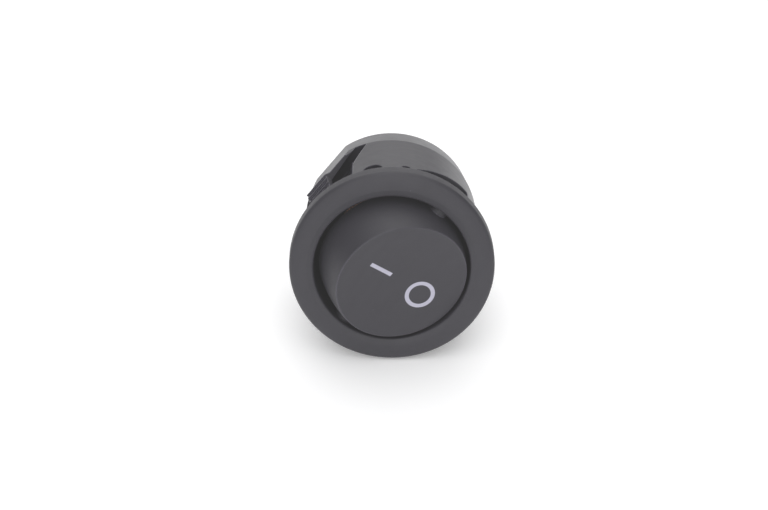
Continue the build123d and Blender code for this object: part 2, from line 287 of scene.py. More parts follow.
def rectangle(left: float, right: float, low: float, high: float) -> Array:
    """The four corners of an upright rectangle."""
    return np.array([(left, low), (right, low), (right, high), (left, high)])


def carve(target: bpy.types.Object, tool: bpy.types.Object, cut: Cut) -> None:
    """Adds, removes or keeps what a closed tool holds of a closed target, and deletes the tool.

    Args:
        target: the object whose mesh is changed.
        tool: the object that is used up.
        cut: what the tool does.
    """
    step = target.modifiers.new("carve", "BOOLEAN")
    step.object, step.operation, step.solver = tool, cut.value, "MANIFOLD"
    graph = bpy.context.evaluated_depsgraph_get()
    mesh = bpy.data.meshes.new_from_object(target.evaluated_get(graph))
    target.modifiers.clear()
    old = target.data
    target.data = mesh
    bpy.data.meshes.remove(old)
    bpy.data.objects.remove(tool)
    if not mesh.polygons:
        raise RuntimeError(f"{target.name} is empty after {cut.name}")


def half_turned(piece: bpy.types.Object, name: str) -> bpy.types.Object:
    """A copy of a piece turned half way round the barrel's axis.

    Args:
        piece: the object to copy.
        name: the copy's name.

    Returns:
        The copy, linked to the scene.
    """
    twin = placed(name, piece.data.copy())
    twin.data.transform(Matrix.Rotation(np.pi, 4, "Y"))
    return twin


def finish_shading(piece: bpy.types.Object, angle: float = 28.0) -> None:
    """Smooths a piece over its round stretches and keeps its corners sharp.

    Args:
        piece: the object to shade.
        angle: the largest turn in degrees between faces that still look smooth.
    """
    work = bmesh.new()
    work.from_mesh(piece.data)
    bmesh.ops.remove_doubles(work, verts=work.verts, dist=MERGE_DISTANCE * MM)
    bmesh.ops.dissolve_degenerate(work, edges=work.edges, dist=MERGE_DISTANCE * MM)
    work.to_mesh(piece.data)
    work.free()
    piece.data.shade_smooth()
    piece.data.set_sharp_from_angle(angle=np.radians(angle))


class Nodes:
    """A small helper that adds shader nodes and joins them."""

    def __init__(self, tree: bpy.types.NodeTree) -> None:
        """Keeps the tree that the nodes go into."""
        self.tree = tree

    def add(self, kind: str, inputs: dict | None = None, **settings: object) -> bpy.types.Node:
        """Adds a node, sets its settings, and sets or joins its inputs.

        Args:
            kind: the node's type name.
            inputs: values, or sockets to join, by input name or number.
            settings: the node's own settings.

        Returns:
            The node.
        """
        node = self.tree.nodes.new(kind)
        for name, value in settings.items():
            setattr(node, name, value)
        self.fill(node, inputs or {})
        return node

    def fill(self, node: bpy.types.Node, values: dict) -> None:
        """Sets a node's inputs, or joins sockets to them.

        Args:
            node: the node to fill.
            values: a constant or a socket by input name or number.
        """
        for name, value in values.items():
            if isinstance(value, Socket):
                self.tree.links.new(value, node.inputs[name])
            else:
                node.inputs[name].default_value = value

    def maths(self, operation: str, *values: Socket | float) -> Socket:
        """Adds one arithmetic step and gives its result."""
        return self.add("ShaderNodeMath", dict(enumerate(values)), operation=operation).outputs[0]

    def ramp(self, value: Socket, low: float, high: float) -> Socket:
        """A smooth step from 0 at low to 1 at high, or the other way round where low is the larger."""
        settings = {"Value": value, "From Min": low, "From Max": high}
        return self.add("ShaderNodeMapRange", settings, interpolation_type="SMOOTHSTEP").outputs[0]

    def blend(self, mask: Socket, first: Socket | tuple, second: Socket | tuple) -> Socket:
        """The first colour where the mask is 0 and the second where it is 1."""
        return self.add("ShaderNodeMix", {0: mask, 6: first, 7: second}, data_type="RGBA").outputs[2]

    def place(self) -> Socket:
        """The point being shaded, in the piece's own metres, which are the part's."""
        return self.add("ShaderNodeTexCoord").outputs["Object"]

    def noise(self, place: Socket, scale: float | Socket, detail: float, roughness: float = 0.5) -> Socket:
        """Soft noise from 0 to 1."""
        settings = {"Vector": place, "Scale": scale, "Detail": detail, "Roughness": roughness}
        return self.add("ShaderNodeTexNoise", settings).outputs["Fac"]

    def soft_edge(self, radius: float) -> Socket:
        """The surface's direction with its corners rounded over a radius in millimetres."""
        return self.add("ShaderNodeBevel", {"Radius": radius * MM}, samples=EDGE_SAMPLES).outputs[0]

    def bump(self, height: Socket, soft: Socket) -> Socket:
        """A direction raised by a height in metres over an already softened one."""
        return self.add("ShaderNodeBump", {"Height": height, "Distance": 1.0, "Normal": soft}).outputs[0]


def new_group(name: str, inputs: tuple[str, ...], outputs: tuple[str, ...]) -> bpy.types.NodeTree:
    """An empty shader node group with named number sockets.

    Args:
        name: the group's name.
        inputs: each input's name.
        outputs: each output's name.

    Returns:
        The group's tree, holding its input and output nodes.
    """
    tree = bpy.data.node_groups.new(name, "ShaderNodeTree")
    for labels, way in ((inputs, "INPUT"), (outputs, "OUTPUT")):
        for label in labels:
            tree.interface.new_socket(label, in_out=way, socket_type="NodeSocketFloat")
        tree.nodes.new("NodeGroup" + way.title())
    return tree


@dataclass(frozen=True)
class MouldGrain:
    """Spark-eroded mould texture: fine pits, soft clouds of tone, faint rubs and a few specks of dust."""

    pit_share: float = 0.4
    cloud_scale: float = 420.0
    rub_scale: Triple = (260.0, 2600.0, 900.0)
    speck_scale: float = 1500.0
    speck_edge: tuple[float, float] = (0.12, 0.04)
    speck_choice: tuple[float, float] = (0.93, 0.97)

    def build(self) -> bpy.types.NodeTree:
        """Makes the node group.

        Returns:
            A group that gives a tone from 0 to 1, a height in metres, a roughness shift and a dust mask.
        """
        tree = new_group("mould_grain", ("Grain", "Depth", "Dust"), ("Tone", "Height", "Rub", "Dust"))
        make = Nodes(tree)
        given = tree.nodes["Group Input"].outputs
        place = make.place()
        fine = make.noise(place, given["Grain"], 3.0, 0.6)
        clouds = make.noise(place, self.cloud_scale, 5.0, 0.55)
        stretched = make.add("ShaderNodeMapping", {"Vector": place, "Scale": self.rub_scale}).outputs[0]
        rubs = make.noise(stretched, 1.0, 4.0)
        settings = {"Vector": place, "Scale": self.speck_scale, "Randomness": 1.0}
        specks = make.add("ShaderNodeTexVoronoi", settings, feature="F1").outputs
        near = make.ramp(specks["Distance"], *self.speck_edge)
        pick = make.add("ShaderNodeSeparateColor", {0: specks["Color"]}).outputs[0]
        chosen = make.ramp(pick, *self.speck_choice)
        tone = (make.maths("MULTIPLY", clouds, 1 - self.pit_share), make.maths("MULTIPLY", fine, self.pit_share))
        make.fill(tree.nodes["Group Output"], {
            "Tone": make.maths("ADD", *tone),
            "Height": make.maths("MULTIPLY", make.maths("SUBTRACT", fine, 0.5), given["Depth"]),
            "Rub": make.maths("SUBTRACT", rubs, 0.5),
            "Dust": make.maths("MULTIPLY", make.maths("MULTIPLY", near, chosen), given["Dust"]),
        })
        return tree


def plane_place_group() -> bpy.types.NodeTree:
    """Coordinates in the rocker's own plane, in millimetres.

    With y and z the point's place from the pivot and a the lean, along is z*cos a - y*sin a and out is
    -(y*cos a + z*sin a).

    Returns:
        A group that gives the place across the face, along it towards the I end and out of it.
    """
    tree = new_group("rocker_place", ("Lean", "Setback"), ("Across", "Along", "Out"))
    make = Nodes(tree)
    given = tree.nodes["Group Input"].outputs
    parts = make.add("ShaderNodeSeparateXYZ", {0: make.place()}).outputs
    across, depth, up = (make.maths("MULTIPLY", part, 1 / MM) for part in parts)
    back = make.maths("SUBTRACT", depth, given["Setback"])
    cosine, sine = (make.maths(kind, given["Lean"]) for kind in ("COSINE", "SINE"))
    along = make.maths("SUBTRACT", make.maths("MULTIPLY", up, cosine), make.maths("MULTIPLY", back, sine))
    inward = make.maths("ADD", make.maths("MULTIPLY", back, cosine), make.maths("MULTIPLY", up, sine))
    out = make.maths("MULTIPLY", inward, -1.0)
    make.fill(tree.nodes["Group Output"], {"Across": across, "Along": along, "Out": out})
    return tree


def new_material(name: str) -> tuple[bpy.types.Material, Nodes, bpy.types.Node]:
    """A named material, with a helper for its nodes and its shader."""
    material = bpy.data.materials.new(name)
    material.use_nodes = True
    return material, Nodes(material.node_tree), material.node_tree.nodes["Principled BSDF"]


@dataclass(frozen=True)
class Moulding:
    """Finish of a dark moulded nylon part: textured in front of a plane across the barrel, smoother behind, with
    a painted highlight along its rounded edges.
    """

    name: str
    colour: Triple
    light: float = 1.18
    dark: float = 0.86
    rough_front: float = 0.52
    rough_back: float = 0.34
    border: float = 0.1
    grain: float = 9000.0
    depth: float = 0.000006
    dust: float = 0.5
    specular: float = 0.5
    edge: float = 0.18
    # The next two set a painted highlight along rounded edges: how much of the paler colour it takes, and where
    # it starts and is full.
    edge_highlight_share: float = 0.9
    edge_highlight_match: tuple[float, float] = (0.995, 0.92)
    # How much paler than the part's colour the dust specks and the painted edge highlight are.
    pale: float = 4.0
    rub_share: float = 0.16
    smooth_share: float = 0.75

    def shade(self, share: float) -> tuple[float, float, float, float]:
        """The part's colour made lighter or darker by a share."""
        return (*(min(1.0, c * share) for c in self.colour), 1.0)

    def build(self, grain: bpy.types.NodeTree) -> bpy.types.Material:
        """Makes the material.

        Args:
            grain: the mould texture's node group.

        Returns:
            The material.
        """
        material, make, shader = new_material(self.name)
        settings = {"Grain": self.grain, "Depth": self.depth, "Dust": self.dust}
        texture = make.add("ShaderNodeGroup", settings, node_tree=grain).outputs
        colour = make.blend(texture["Tone"], self.shade(self.dark), self.shade(self.light))
        colour = self.mark(make, make.blend(texture["Dust"], colour, self.shade(self.pale)))
        soft = make.soft_edge(self.edge)
        flat = make.add("ShaderNodeNewGeometry").outputs["Normal"]
        match = make.add("ShaderNodeVectorMath", {0: soft, 1: flat}, operation="DOT_PRODUCT").outputs["Value"]
        # Painted highlight: the base colour turns paler where the rounded direction leaves the flat one, along
        # the edges.
        edge_highlight_mask = make.maths("MULTIPLY", make.ramp(match, *self.edge_highlight_match), self.edge_highlight_share)
        along = make.add("ShaderNodeSeparateXYZ", {0: make.place()}).outputs[1]
        behind = make.ramp(along, -self.border * MM, self.border * MM)
        spread = make.maths("MULTIPLY", behind, self.rough_back - self.rough_front)
        rubbed = make.maths("MULTIPLY", texture["Rub"], self.rub_share)
        fade = make.maths("SUBTRACT", 1.0, make.maths("MULTIPLY", behind, self.smooth_share))
        make.fill(shader, {
            "Base Color": make.blend(edge_highlight_mask, colour, self.shade(self.pale)),
            "Roughness": make.maths("ADD", make.maths("ADD", spread, self.rough_front), rubbed),
            "Normal": make.bump(make.maths("MULTIPLY", texture["Height"], fade), soft),
            "Specular IOR Level": self.specular,
        })
        return material

    def mark(self, make: Nodes, colour: Socket) -> Socket:
        """Leaves the colour as it is: this finish has no marks."""
        return colour


@dataclass(frozen=True)
class MarkedMoulding(Moulding):
    """The rocker's finish, with a bar and a ring printed on its face."""

    ink: Triple = (0.44, 0.43, 0.52)
    lean: float = 18.0
    setback: float = -0.3
    face_from: float = 2.6
    stroke: float = 0.47
    bar_across: float = 0.04
    bar_centre: float = 2.76
    bar_half: float = 1.54
    ring_across: float = -0.36
    ring_along: float = -3.4
    ring_radius: float = 1.49
    soft: float = 0.05

    def mark(self, make: Nodes, colour: Socket) -> Socket:
        """Prints the marks over a colour.

        The bar is where both the distance across from its middle line and the distance along from its
        centre are inside its half sizes, and the ring is where the distance from its centre differs from
        its radius by less than half the stroke.

        Args:
            make: the node helper of the material.
            colour: the colour under the ink.

        Returns:
            The colour with the ink.
        """
        turn = {"Lean": float(np.radians(self.lean)), "Setback": self.setback}
        across, along, out = make.add("ShaderNodeGroup", turn, node_tree=plane_place_group()).outputs
        half = self.stroke / 2

        def inside(distance: Socket, limit: float) -> Socket:
            """1 within a distance and 0 beyond it, with a soft edge."""
            return make.ramp(distance, limit + self.soft / 2, limit - self.soft / 2)

        def apart(place: Socket, centre: float) -> Socket:
            """The distance from a place to a centre."""
            return make.maths("ABSOLUTE", make.maths("SUBTRACT", place, centre))

        stroke = inside(apart(across, self.bar_across), half)
        bar = make.maths("MULTIPLY", stroke, inside(apart(along, self.bar_centre), self.bar_half))
        from_ring = (apart(across, self.ring_across), apart(along, self.ring_along))
        far = make.maths("SQRT", make.maths("ADD", *(make.maths("MULTIPLY", part, part) for part in from_ring)))
        ring = inside(apart(far, self.ring_radius), half)
        on_face = make.ramp(out, self.face_from, self.face_from + self.soft)
        ink = make.maths("MULTIPLY", make.maths("MAXIMUM", bar, ring), on_face)
        return make.blend(ink, colour, (*self.ink, 1.0))


@dataclass(frozen=True)
class Metal:
    """Finish of a rolled or drawn metal part, with brush lines and soft stains."""

    name: str
    colour: Triple
    tarnish: Triple
    roughness: float = 0.3
    lines: Triple = (300.0, 9000.0, 300.0)
    line_depth: float = 0.002
    stain_scale: float = 700.0
    stain_range: tuple[float, float] = (0.45, 0.7)
    rough_spread: float = 0.14
    edge: float = 0.05

    def build(self) -> bpy.types.Material:
        """Makes the material.

        Returns:
            The material.
        """
        material, make, shader = new_material(self.name)
        place = make.place()
        mask = make.ramp(make.noise(place, self.stain_scale, 4.0), *self.stain_range)
        drawn = make.add("ShaderNodeMapping", {"Vector": place, "Scale": self.lines}).outputs[0]
        brush = make.noise(drawn, 1.0, 3.0)
        height = make.maths("MULTIPLY", brush, self.line_depth * MM)
        spread = make.maths("MULTIPLY", make.maths("ADD", brush, mask), self.rough_spread)
        make.fill(shader, {
            "Base Color": make.blend(mask, (*self.colour, 1.0), (*self.tarnish, 1.0)),
            "Roughness": make.maths("ADD", spread, self.roughness),
            "Normal": make.bump(height, make.soft_edge(self.edge)),
            "Metallic": 1.0,
        })
        return material


@dataclass(frozen=True)
class Paper:
    """Finish of the pale surface under the switch, which is clear from below."""

    name: str = "floor_paper"
    colour: Triple = (0.93, 0.93, 0.935)
    roughness: float = 0.9
    specular: float = 0.1
    glow: float = 0.18

    def build(self) -> bpy.types.Material:
        """Makes the material.

        Returns:
            The material.
        """
        material, make, shader = new_material(self.name)
        make.fill(shader, {
            "Base Color": (*self.colour, 1.0),
            "Roughness": self.roughness,
            "Specular IOR Level": self.specular,
            "Emission Color": (1.0, 1.0, 1.0, 1.0),
            "Emission Strength": self.glow,
        })
        back = make.add("ShaderNodeNewGeometry").outputs["Backfacing"]
        clear = make.add("ShaderNodeBsdfTransparent").outputs[0]
        mix = make.add("ShaderNodeMixShader", {0: back, 1: shader.outputs[0], 2: clear})
        make.fill(material.node_tree.nodes["Material Output"], {"Surface": mix.outputs[0]})
        return material


@dataclass
class Housing:
    """The one-piece moulding: bezel, mouth, barrel, snap arms, windows and floor. Sizes in millimetres.

    Each notch is its angle, width and reach, and the pad is its half width and its lower and upper place.
    """

    barrel_radius: float = 9.9
    rear_radius: float = 9.35
    body_depth: float = 15.0
    taper_depth: float = 11.45
    floor_depth: float = 13.2
    bezel_radius: float = 11.49
    bezel_thickness: float = 2.15
    rim_height: float = 1.65
    lip_round: float = 0.25
    crest_round: float = 0.2
    rim_round: float = 0.55
    rim_back_round: float = 0.08
    seat_round: float = 0.05
    rear_round: float = 0.12
    mouth_radius: float = 8.75
    crest_radius: float = 9.55
    lip_depth: float = 0.1
    pivot_depth: float = -0.3
    stop_depth: float = 4.289
    chamber_radius: float = 8.7
    chamber_half: float = 6.6
    recess_floor: float = 7.6
    bowl_wall: float = 0.75
    bearing_radius: float = 1.15
    bearing_reach: float = 9.5
    nose_depth: float = 5.4
    nose_height: float = 11.05
    nose_thickness: float = 1.05
    saddle_run: float = 0.9
    saddle_drop: float = 0.5
    tip_thickness: float = 0.5
    step_count: int = 4
    step_run: float = 0.7
    step_drop: float = 0.24
    step_round: float = 0.04
    root_height: float = 9.25
    root_thickness: float = 0.4
    tongue_half: float = 1.65
    body_half: float = 3.3
    root_run: float = 0.9
    arm_rounds: tuple[float, ...] = (0.15, 0.3, 0.6, 0.0, 0.0)
    window_half: float = 4.125
    window_end_half: float = 5.625
    window_front: float = 0.8
    window_flare: float = 4.5
    window_rounds: Triple = (0.2, 0.8, 0.15)
    bowl_rounds: tuple[float, float] = (0.6, 0.3)
    core_half: float = 2.7
    core_from: float = 5.85
    core_to: float = 10.65
    core_rib: float = 0.35
    core_rib_top: float = 8.2
    rear_flat_height: float = 8.95
    side_span: float = 45.0
    side_front: float = 3.2
    side_shallow: float = 0.65
    side_deep: float = 4.95
    side_rounds: tuple[float, ...] = (0.15, 0.2, 0.12, 0.1)
    notches: tuple[Triple, ...] = ((51.5, 2.2, 3.1), (29.5, 1.0, 2.6))
    notch_front: float = 1.6
    notch_cut: float = 0.5
    slots: tuple[float, ...] = (0.0, -6.0)
    slot_half: tuple[float, float] = (2.45, 0.45)
    rest_place: float = 4.4
    rest_half: tuple[float, float] = (2.4, 0.6)
    rest_depth: float = 10.436
    pad: Triple = (2.9, -5.2, -2.806)
    pad_depth: float = 12.183
    bite: float = 0.1
    inner_reach: float = 2.0
    overrun: float = 1.0
    smooth_angle: float = 8.5
    ring: Axes = Axes((0, 0, 0), (1, 0, 0), (0, 1, 0))
    upright: Axes = Axes((0, 0, 0), (0, 1, 0), (0, 0, 1))
    across: Axes = Axes((0, 0, 0), (1, 0, 0), (0, 0, 1))

    @property
    def bowl_end(self) -> float:
        """Radius of the bowl where it ends at the stop: sqrt(mouth radius^2 - drop^2)."""
        return float(np.sqrt(self.mouth_radius**2 - (self.stop_depth - self.pivot_depth) ** 2))

    def profile(self) -> Array:
        """The turned section from the bowl's bottom round the mouth, bezel and barrel to the rear's middle.

        With t from 0 at the crest to 1 at the rim, the dome falls by (thickness - rim height) * t^2.

        Returns:
            Rows of radius and depth.
        """
        thick = self.bezel_thickness
        bowl_ends = (self.bowl_end, self.stop_depth), (self.mouth_radius, self.pivot_depth)
        rise = np.linspace(0, 1, 6)[:, None]
        radius = self.crest_radius + (self.bezel_radius - self.crest_radius) * rise
        dome = np.hstack([radius, -thick + (thick - self.rim_height) * rise**2])
        corners = np.vstack([
            (self.mouth_radius, self.lip_depth - thick),
            dome,
            (self.bezel_radius, 0.0),
            (self.barrel_radius, 0.0),
            (self.barrel_radius, self.taper_depth),
            (self.rear_radius, self.body_depth),
            (0.0, self.body_depth),
            (0.0, self.stop_depth),
            arc_between(*bowl_ends, -self.mouth_radius, 24),
        ])
        radii = np.zeros(len(corners))
        rim = len(dome)
        radii[:2] = self.lip_round, self.crest_round
        radii[rim : rim + 3] = self.rim_round, self.rim_back_round, self.seat_round
        radii[rim + 4] = self.rear_round
        outline = rounded(corners, radii, 13)
        start = int(np.argmin(np.hypot(outline[:, 0], outline[:, 1] - self.stop_depth)))
        return np.roll(outline, -start, axis=0)

    def arm(self, name: str) -> bpy.types.Object:
        """One snap arm: a flat stepped section that runs across X, kept inside the arm's outline.

        Args:
            name: the arm's name.

        Returns:
            The closed mesh object.
        """
        number = np.arange(self.step_count)
        depth = self.nose_depth - number * self.step_run
        height = self.nose_height - (number + 1) * self.step_drop
        steps = np.stack([depth, height, depth - self.step_run, height], 1).reshape(-1, 2)
        tip = steps[-1]
        end = self.taper_depth + self.bite
        section = np.vstack([
            (self.taper_depth, self.root_height),
            (self.nose_depth + self.saddle_run, self.nose_height - self.saddle_drop),
            (self.nose_depth, self.nose_height),
            steps,
            (tip[0], tip[1] - self.tip_thickness),
            (self.nose_depth, self.nose_height - self.nose_thickness),
            (self.taper_depth, self.root_height - self.root_thickness),
            (end, self.root_height - self.root_thickness),
            (end, self.root_height),
        ])
        radii = np.full(len(section), self.step_round)
        radii[[0, -1, -2, -3]] = 0.0
        wide = self.window_end_half + self.overrun
        arm = prism(name, rounded(section, radii, 4), self.upright, -wide, wide)
        corner = float(np.degrees(np.arccos(self.body_half / self.barrel_radius)))
        inside = np.vstack([
            arc((0, 0), self.barrel_radius, 0, corner, 40),
            rectangle(-self.body_half, self.body_half, 0, self.nose_height + self.overrun)[[2, 3]],
            arc((0, 0), self.barrel_radius, 180 - corner, 180, 40),
        ])
        carve(arm, prism("arm_limit", inside, self.across, -self.body_depth, 0.0), Cut.KEEP)
        right = np.array([
            (self.tongue_half, tip[0]),
            (self.tongue_half, self.nose_depth),
            (self.body_half, self.taper_depth - self.root_run),
            (self.window_end_half, self.taper_depth),
            (self.window_end_half, self.taper_depth + self.overrun),
        ])
        outline = mirrored(right, self.arm_rounds, 9)
        top = self.nose_height + self.overrun
        carve(arm, prism("arm_outline", outline, self.ring, self.inner_reach, top), Cut.KEEP)
        return arm

    def recess(self) -> bpy.types.Object:
        """The pocket round an arm: its outline from above, down to a floor that follows the bowl.

        Returns:
            The closed mesh object that is cut out.
        """
        right = np.array([
            (self.window_half, self.window_front),
            (self.window_half, self.taper_depth - self.window_flare),
            (self.window_end_half, self.taper_depth),
        ])
        top = self.barrel_radius + self.overrun
        pocket = prism("recess", mirrored(right, self.window_rounds, 12), self.ring, self.inner_reach, top)
        side = np.array([
            (self.window_front - self.overrun, top),
            (self.window_front - self.overrun, self.mouth_radius + self.bowl_wall),
            (self.window_front, self.mouth_radius + self.bowl_wall),
            (self.stop_depth, self.bowl_end + self.bowl_wall),
            (self.stop_depth + self.overrun, self.recess_floor),
            (self.taper_depth + self.overrun, self.recess_floor),
            (self.taper_depth + self.overrun, top),
        ])
        radii = np.zeros(len(side))
        radii[3:5] = self.bowl_rounds
        reach = self.window_end_half + self.overrun
        carve(pocket, prism("recess_side", rounded(side, radii), self.upright, -reach, reach), Cut.KEEP)
        return pocket

    def rear_flat(self) -> bpy.types.Object:
        """What the flat behind an arm takes off the tapered rear.

        Returns:
            The closed mesh object that is cut off.
        """
        slope = (self.root_height - self.rear_flat_height) / (self.body_depth - self.taper_depth)
        end = self.body_depth + self.overrun
        top = self.nose_height + self.overrun
        section = np.array([
            (self.taper_depth, self.root_height),
            (end, self.root_height - slope * (end - self.taper_depth)),
            (end, top),
            (self.taper_depth, top),
        ])
        return prism("rear_flat", section, self.upright, -self.window_end_half, self.window_end_half)

    def block(self, name: str, half: float, low: float, high: float) -> bpy.types.Object:
        """A block over the opening under an arm, out to a half width in X, between two heights in Z."""
        outline = rectangle(-half, half, self.core_from, self.core_to)
        return prism(name, outline, self.ring, low, high)

    def side_window(self) -> bpy.types.Object:
        """The three-sided opening through the +X wall.

        Returns:
            The closed mesh object that is cut out.
        """
        half = self.barrel_radius * np.sin(np.radians(self.side_span / 2))
        corners = np.array([
            (self.side_front, -half),
            (self.side_front + self.side_deep, -half),
            (self.side_front + self.side_shallow, half),
            (self.side_front, half),
        ])
        outline = rounded(corners, self.side_rounds)
        return prism("side_window", outline, self.upright, self.inner_reach, self.barrel_radius + self.overrun)

    def notch(self, angle: float, width: float, reach: float) -> bpy.types.Object:
        """A shallow round-ended recess behind the bezel, at an angle from +X towards +Z.

        Args:
            angle: where it lies round the barrel, in degrees.
            width: how wide it is.
            reach: how far it runs along the barrel.

        Returns:
            The closed mesh object that is cut out.
        """
        turn = np.radians(angle)
        out = (float(np.cos(turn)), 0.0, float(np.sin(turn)))
        axes = Axes((0, 0, 0), (0, 1, 0), (-out[2], 0.0, out[0]))
        half = width / 2
        end = arc((self.notch_front + reach - half, 0), half, 90, -90, 25)
        outline = np.vstack([end, (self.notch_front, -half), (self.notch_front, half)])
        low, high = self.barrel_radius - self.notch_cut, self.barrel_radius + self.overrun
        return prism("notch", outline, axes, low, high)

    def build(self) -> bpy.types.Object:
        """Makes the whole moulding.

        Returns:
            The housing's mesh object.
        """
        body = lathe("housing_moulding", self.profile(), self.ring)
        front, rear = self.bezel_thickness + self.overrun, -self.body_depth - self.overrun
        section = rectangle(0, self.chamber_radius, self.pivot_depth, self.floor_depth)
        chamber = lathe("chamber", section, self.ring)
        wide = self.chamber_radius + self.overrun
        flats = rectangle(-wide, wide, -self.chamber_half, self.chamber_half)
        carve(chamber, prism("flats", flats, self.across, rear, front), Cut.KEEP)
        carve(body, chamber, Cut.REMOVE)
        pivot = Axes((0, self.pivot_depth, 0), (0, 0, 1), (1, 0, 0))
        reach = self.bearing_reach
        bearing = rectangle(0, self.bearing_radius, -reach, reach)
        carve(body, lathe("bearing", bearing, pivot, 64), Cut.REMOVE)
        wall = self.chamber_half + self.overrun / 2
        rib_half, rib_top = self.core_half + self.core_rib, self.core_rib_top
        for tool, cut in (
            (self.recess(), Cut.REMOVE),
            (self.block("core_ribs", rib_half, wall, rib_top), Cut.ADD),
            (self.block("core_opening", self.core_half, self.overrun, rib_top + self.bite), Cut.REMOVE),
            (self.side_window(), Cut.REMOVE),
            *((self.notch(*row), Cut.REMOVE) for row in self.notches),
            (self.arm("arm"), Cut.ADD),
            (self.rear_flat(), Cut.REMOVE),
        ):
            twin = half_turned(tool, tool.name + "_twin")
            carve(body, tool, cut)
            carve(body, twin, cut)
        under = -self.floor_depth - self.overrun / 2
        inside = -self.floor_depth + self.overrun / 2
        rest_wide, rest_thick = self.rest_half
        slot_wide, slot_thick = self.slot_half
        pad_wide, pad_low, pad_high = self.pad
        rest = rectangle(-rest_wide, rest_wide, self.rest_place - rest_thick, self.rest_place + rest_thick)
        pad = rectangle(-pad_wide, pad_wide, pad_low, pad_high)
        slots = [rectangle(-slot_wide, slot_wide, z - slot_thick, z + slot_thick) for z in self.slots]
        for name, outline, low, high, cut in (
            ("rest", rest, under, -self.rest_depth, Cut.ADD),
            ("pad", pad, under, -self.pad_depth, Cut.ADD),
            *(("slot", slot, rear, inside, Cut.REMOVE) for slot in slots),
        ):
            carve(body, prism(name, outline, self.across, low, high), cut)
        finish_shading(body, self.smooth_angle)
        return body


@dataclass
class Rocker:
    """The rocker: a dished face on a round skirt, with its tube, ribs and trunnions. In millimetres."""

    skirt_radius: float = 8.12
    side_bulge: float = 18.0
    hollow: float = 6.91
    face_radius: float = 7.5
    face_height: float = 3.86
    set_off: float = 0.2
    dish: float = 0.55
    face_thickness: float = 1.273
    dish_stop: float = 0.93
    edge_round: float = 0.12
    skirt: float = 2.0
    skirt_round: float = 0.1
    tube_radius: float = 2.16
    bore_radius: float = 1.26
    tube_reach: float = 6.65
    trunnion_radius: float = 1.1
    trunnion_reach: float = 9.35
    trunnion_round: float = 0.15
    rib_half: float = 0.5
    rib_depth: float = 1.3
    lean: float = 18.0
    pivot_depth: float = -0.3
    sink: float = 0.3
    overrun: float = 1.0

    @property
    def hollow_top(self) -> float:
        """Height of the back of the face."""
        return self.face_height - self.dish - self.face_thickness

    def profile(self) -> Array:
        """The turned section: dish, rounded edge, side, skirt end and hollow.

        With t the share of the face's radius, the dish lies dish * (1 - t^2) below the edge. Its points stop
        short of the edge, and the side's start past it, to leave room for the edge's round.

        Returns:
            Rows of radius and height.
        """
        edge = self.face_height
        share = np.append(np.linspace(0, self.dish_stop, 20), 1.0)[:, None]
        dish = np.hstack([self.face_radius * share, edge - self.dish * (1 - share**2)])
        side = arc_between((self.face_radius, edge), (self.skirt_radius, -self.skirt), -self.side_bulge, 14)[2:]
        inner = [(self.hollow, -self.skirt), (self.hollow, self.hollow_top), (0.0, self.hollow_top)]
        corners = np.vstack([dish, side, inner])
        radii = np.zeros(len(corners))
        radii[len(dish) - 1] = self.edge_round
        radii[len(dish) + len(side) - 1] = self.skirt_round
        outline = rounded(corners, radii, 9)
        start = int(np.argmin(np.hypot(outline[:, 0], outline[:, 1] - (edge - self.dish))))
        return np.roll(outline, -start, axis=0)

    def build(self) -> bpy.types.Object:
        """Makes the rocker at rest, with its O end pressed.

        Returns:
            The rocker's mesh object.
        """
        out = turned(self.lean, (0.0, self.pivot_depth, 0.0))
        shell = Axes(tuple((np.array(out.origin) + self.set_off * out.depth).tolist()), out.side, out.height)
        body = lathe("rocker_moulding", self.profile(), shell)
        top, low = self.hollow_top + self.sink, -self.tube_reach
        tube = rectangle(0, self.tube_radius, low, top)
        carve(body, lathe("tube", tube, out, 96), Cut.ADD)
        wide = self.hollow + self.sink
        rib = rectangle(-wide, wide, -self.rib_depth, top)
        inside = arc((0, 0), wide, 0, 360, 97)[:-1]
        across = Axes(out.origin, tuple(-out.depth), out.height)
        for axes in (out, across):
            piece = prism("rib", rib, axes, -self.rib_half, self.rib_half)
            carve(piece, prism("rib_edge", inside, axes, -self.overrun, self.overrun), Cut.KEEP)
            carve(body, piece, Cut.ADD)
        pivot = Axes(out.origin, (0, 0, 1), (1, 0, 0))
        radius, reach = self.trunnion_radius, self.trunnion_reach
        pin = rounded(rectangle(0, radius, -reach, reach), (0.0, self.trunnion_round, self.trunnion_round, 0.0))
        carve(body, lathe("trunnions", pin, pivot, 64), Cut.ADD)
        top, low = self.hollow_top, low - self.overrun
        bore = rectangle(0, self.bore_radius, low, top)
        carve(body, lathe("bore", bore, out, 64), Cut.REMOVE)
        finish_shading(body)
        return body


@dataclass
class InnerParts:
    """The CAD pieces that keep their shape and only get a finish, with the finish of each."""

    finishes: dict[str, str] = field(default_factory=lambda: {
        "plunger": "acetal", "plunger_spring": "wire", "contact_blade": "copper",
        "moving_contact": "silver", "fixed_contact": "silver",
        "common_terminal": "tinned_brass", "load_terminal": "tinned_brass",
    })

    def dress(self, materials: dict[str, bpy.types.Material]) -> None:
        """Gives each node its material.

        Args:
            materials: the finished materials by name.
        """
        for node, finish in self.finishes.items():
            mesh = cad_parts[node].data
            mesh.materials.clear()
            mesh.materials.append(materials[finish])
            LOG.info("dressed %s in %s", node, finish)


